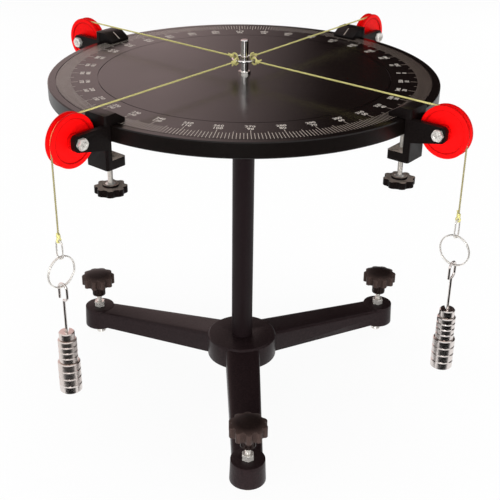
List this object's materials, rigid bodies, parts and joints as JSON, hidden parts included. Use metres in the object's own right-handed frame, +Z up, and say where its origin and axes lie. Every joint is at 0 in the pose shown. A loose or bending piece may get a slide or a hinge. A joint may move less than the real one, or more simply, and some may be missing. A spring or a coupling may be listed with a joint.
{
  "type": "force table",
  "caption": "Round graduated table on a column and levelling tripod, with pulleys clamped to its rim and cords from a centre ring to slotted weights, for balancing forces.",
  "frame": {"origin": "the point where the table's axis meets its top face", "axes": "+Z up along the column, -Y towards the leg that faces the viewer, +X to the right"},
  "size_m": [0.407, 0.4253, 0.407],
  "materials": {
    "cast_base": "black paint, semi-gloss",
    "column": "black paint, satin",
    "table_black": "black-brown, semi-gloss, engraved scale filled white",
    "flange_black": "black paint",
    "clamp_black": "black paint, satin",
    "knob_black": "black moulded, satin",
    "pulley_red": "red moulded, glossy",
    "chrome": "polished",
    "steel": "plain",
    "weight_metal": "nickel plated, turned",
    "cord": "twisted yellow cord"
  },
  "bodies": {
    "stand": {"tripod_base": "cast_base", "column": "column", "column_bolt": "steel", "table_flange": "flange_black", "flange_screws": "steel", "table_disc": "table_black", "lock_nuts": "steel", "centre_pin": "chrome", "pull_ring": "chrome"},
    "foot_right": {"levelling_foot_right": "steel"},
    "levelling_right": {"levelling_knob_right": "knob_black", "levelling_screw_right": "steel"},
    "foot_left": {"levelling_foot_left": "steel"},
    "levelling_left": {"levelling_knob_left": "knob_black", "levelling_screw_left": "steel"},
    "foot_front": {"levelling_foot_front": "steel"},
    "levelling_front": {"levelling_knob_front": "knob_black", "levelling_screw_front": "steel"},
    "clamp_back_right": {"clamp_frame_back_right": "clamp_black", "axle_bolt_back_right": "chrome", "axle_nut_set_back_right": "chrome", "cord_back_right": "cord"},
    "pulley_back_right": {"pulley_back_right": "pulley_red"},
    "pad_back_right": {"clamp_pad_back_right": "steel"},
    "screw_back_right": {"clamp_screw_back_right": "chrome", "clamp_knob_back_right": "knob_black"},
    "clamp_back_left": {"clamp_frame_back_left": "clamp_black", "axle_bolt_back_left": "chrome", "axle_nut_set_back_left": "chrome", "cord_back_left": "cord"},
    "pulley_back_left": {"pulley_back_left": "pulley_red"},
    "pad_back_left": {"clamp_pad_back_left": "steel"},
    "screw_back_left": {"clamp_screw_back_left": "chrome", "clamp_knob_back_left": "knob_black"},
    "clamp_front_left": {"clamp_frame_front_left": "clamp_black", "axle_bolt_front_left": "chrome", "axle_nut_set_front_left": "chrome", "cord_front_left": "cord", "cord_link_front_left": "chrome"},
    "pulley_front_left": {"pulley_front_left": "pulley_red"},
    "pad_front_left": {"clamp_pad_front_left": "steel"},
    "screw_front_left": {"clamp_screw_front_left": "chrome", "clamp_knob_front_left": "knob_black"},
    "clamp_front_right": {"clamp_frame_front_right": "clamp_black", "axle_bolt_front_right": "chrome", "axle_nut_set_front_right": "chrome", "cord_front_right": "cord", "cord_link_front_right": "chrome"},
    "pulley_front_right": {"pulley_front_right": "pulley_red"},
    "pad_front_right": {"clamp_pad_front_right": "steel"},
    "screw_front_right": {"clamp_screw_front_right": "chrome", "clamp_knob_front_right": "knob_black"},
    "ring_front_left": {"split_ring_front_left": "chrome"},
    "hanger_front_left": {"weight_hanger_front_left": "weight_metal"},
    "large_weights_front_left": {"large_weights_front_left": "weight_metal"},
    "small_weights_front_left": {"small_weights_front_left": "weight_metal"},
    "ring_front_right": {"split_ring_front_right": "chrome"},
    "hanger_front_right": {"weight_hanger_front_right": "weight_metal"},
    "large_weights_front_right": {"large_weights_front_right": "weight_metal"},
    "small_weights_front_right": {"small_weights_front_right": "weight_metal"}
  },
  "joints": [
    {"name": "foot_right_lift", "type": "slide", "parent": "stand", "child": "foot_right", "axis": [0, 0, -1], "range_m": [-0.0045, 0.007]},
    {"name": "levelling_right_turn", "type": "hinge", "parent": "foot_right", "child": "levelling_right", "pos_m": [0.17753, 0.1025, -0.342], "axis": [0, 0, -1], "range_deg": [-1620, 2520]},
    {"name": "foot_left_lift", "type": "slide", "parent": "stand", "child": "foot_left", "axis": [0, 0, -1], "range_m": [-0.0045, 0.007]},
    {"name": "levelling_left_turn", "type": "hinge", "parent": "foot_left", "child": "levelling_left", "pos_m": [-0.17753, 0.1025, -0.342], "axis": [0, 0, -1], "range_deg": [-1620, 2520]},
    {"name": "foot_front_lift", "type": "slide", "parent": "stand", "child": "foot_front", "axis": [0, 0, -1], "range_m": [-0.0045, 0.007]},
    {"name": "levelling_front_turn", "type": "hinge", "parent": "foot_front", "child": "levelling_front", "pos_m": [0, -0.205, -0.342], "axis": [0, 0, -1], "range_deg": [-1620, 2520]},
    {"name": "clamp_back_right_angle", "type": "hinge", "parent": "stand", "child": "clamp_back_right", "pos_m": [0, 0, 0], "axis": [0, 0, 1], "range_deg": [-30, 30]},
    {"name": "pulley_back_right_spin", "type": "hinge", "parent": "clamp_back_right", "child": "pulley_back_right", "pos_m": [0.1543, 0.17751, -0.007], "axis": [-0.7547, 0.6561, 0], "continuous": true},
    {"name": "pad_back_right_lift", "type": "slide", "parent": "clamp_back_right", "child": "pad_back_right", "axis": [0, 0, -1], "range_m": [0, 0.006]},
    {"name": "clamp_screw_back_right_turn", "type": "hinge", "parent": "pad_back_right", "child": "screw_back_right", "pos_m": [0.12563, 0.14453, -0.06], "axis": [0, 0, -1], "range_deg": [0, 2160]},
    {"name": "clamp_back_left_angle", "type": "hinge", "parent": "stand", "child": "clamp_back_left", "pos_m": [0, 0, 0], "axis": [0, 0, 1], "range_deg": [-30, 30]},
    {"name": "pulley_back_left_spin", "type": "hinge", "parent": "clamp_back_left", "child": "pulley_back_left", "pos_m": [-0.17751, 0.1543, -0.007], "axis": [-0.6561, -0.7547, 0], "continuous": true},
    {"name": "pad_back_left_lift", "type": "slide", "parent": "clamp_back_left", "child": "pad_back_left", "axis": [0, 0, -1], "range_m": [0, 0.006]},
    {"name": "clamp_screw_back_left_turn", "type": "hinge", "parent": "pad_back_left", "child": "screw_back_left", "pos_m": [-0.14453, 0.12563, -0.06], "axis": [0, 0, -1], "range_deg": [0, 2160]},
    {"name": "clamp_front_left_angle", "type": "hinge", "parent": "stand", "child": "clamp_front_left", "pos_m": [0, 0, 0], "axis": [0, 0, 1], "range_deg": [-30, 30]},
    {"name": "pulley_front_left_spin", "type": "hinge", "parent": "clamp_front_left", "child": "pulley_front_left", "pos_m": [-0.15738, -0.17479, -0.007], "axis": [0.7431, -0.6691, 0], "continuous": true},
    {"name": "pad_front_left_lift", "type": "slide", "parent": "clamp_front_left", "child": "pad_front_left", "axis": [0, 0, -1], "range_m": [0, 0.006]},
    {"name": "clamp_screw_front_left_turn", "type": "hinge", "parent": "pad_front_left", "child": "screw_front_left", "pos_m": [-0.12814, -0.14231, -0.06], "axis": [0, 0, -1], "range_deg": [0, 2160]},
    {"name": "clamp_front_right_angle", "type": "hinge", "parent": "stand", "child": "clamp_front_right", "pos_m": [0, 0, 0], "axis": [0, 0, 1], "range_deg": [-30, 30]},
    {"name": "pulley_front_right_spin", "type": "hinge", "parent": "clamp_front_right", "child": "pulley_front_right", "pos_m": [0.17751, -0.1543, -0.007], "axis": [0.6561, 0.7547, 0], "continuous": true},
    {"name": "pad_front_right_lift", "type": "slide", "parent": "clamp_front_right", "child": "pad_front_right", "axis": [0, 0, -1], "range_m": [0, 0.006]},
    {"name": "clamp_screw_front_right_turn", "type": "hinge", "parent": "pad_front_right", "child": "screw_front_right", "pos_m": [0.14453, -0.12563, -0.06], "axis": [0, 0, -1], "range_deg": [0, 2160]},
    {"name": "ring_front_left_swing", "type": "hinge", "parent": "clamp_front_left", "child": "ring_front_left", "pos_m": [-0.1721, -0.19114, -0.1152], "axis": [0.7431, -0.6691, 0], "range_deg": [-25, 25]},
    {"name": "hanger_front_left_swing", "type": "hinge", "parent": "ring_front_left", "child": "hanger_front_left", "pos_m": [-0.1721, -0.19114, -0.1438], "axis": [-0.6691, -0.7431, 0], "range_deg": [-25, 25]},
    {"name": "large_weights_front_left_lift", "type": "slide", "parent": "hanger_front_left", "child": "large_weights_front_left", "axis": [0, 0, 1], "range_m": [0, 0.012]},
    {"name": "small_weights_front_left_lift", "type": "slide", "parent": "large_weights_front_left", "child": "small_weights_front_left", "axis": [0, 0, 1], "range_m": [0, 0.018]},
    {"name": "ring_front_right_swing", "type": "hinge", "parent": "clamp_front_right", "child": "ring_front_right", "pos_m": [0.19411, -0.16874, -0.1072], "axis": [0.6561, 0.7547, 0], "range_deg": [-25, 25]},
    {"name": "hanger_front_right_swing", "type": "hinge", "parent": "ring_front_right", "child": "hanger_front_right", "pos_m": [0.19411, -0.16874, -0.1358], "axis": [0.7547, -0.6561, 0], "range_deg": [-25, 25]},
    {"name": "large_weights_front_right_lift", "type": "slide", "parent": "hanger_front_right", "child": "large_weights_front_right", "axis": [0, 0, 1], "range_m": [0, 0.012]},
    {"name": "small_weights_front_right_lift", "type": "slide", "parent": "large_weights_front_right", "child": "small_weights_front_right", "axis": [0, 0, 1], "range_m": [0, 0.018]}
  ],
  "couplings": [
    {"joint": "levelling_right_turn", "follows": "foot_right_lift", "rad_per_m": 6283},
    {"joint": "levelling_left_turn", "follows": "foot_left_lift", "rad_per_m": 6283},
    {"joint": "levelling_front_turn", "follows": "foot_front_lift", "rad_per_m": 6283},
    {"joint": "clamp_screw_back_right_turn", "follows": "pad_back_right_lift", "rad_per_m": 6283},
    {"joint": "clamp_screw_back_left_turn", "follows": "pad_back_left_lift", "rad_per_m": 6283},
    {"joint": "clamp_screw_front_left_turn", "follows": "pad_front_left_lift", "rad_per_m": 6283},
    {"joint": "clamp_screw_front_right_turn", "follows": "pad_front_right_lift", "rad_per_m": 6283}
  ]
}
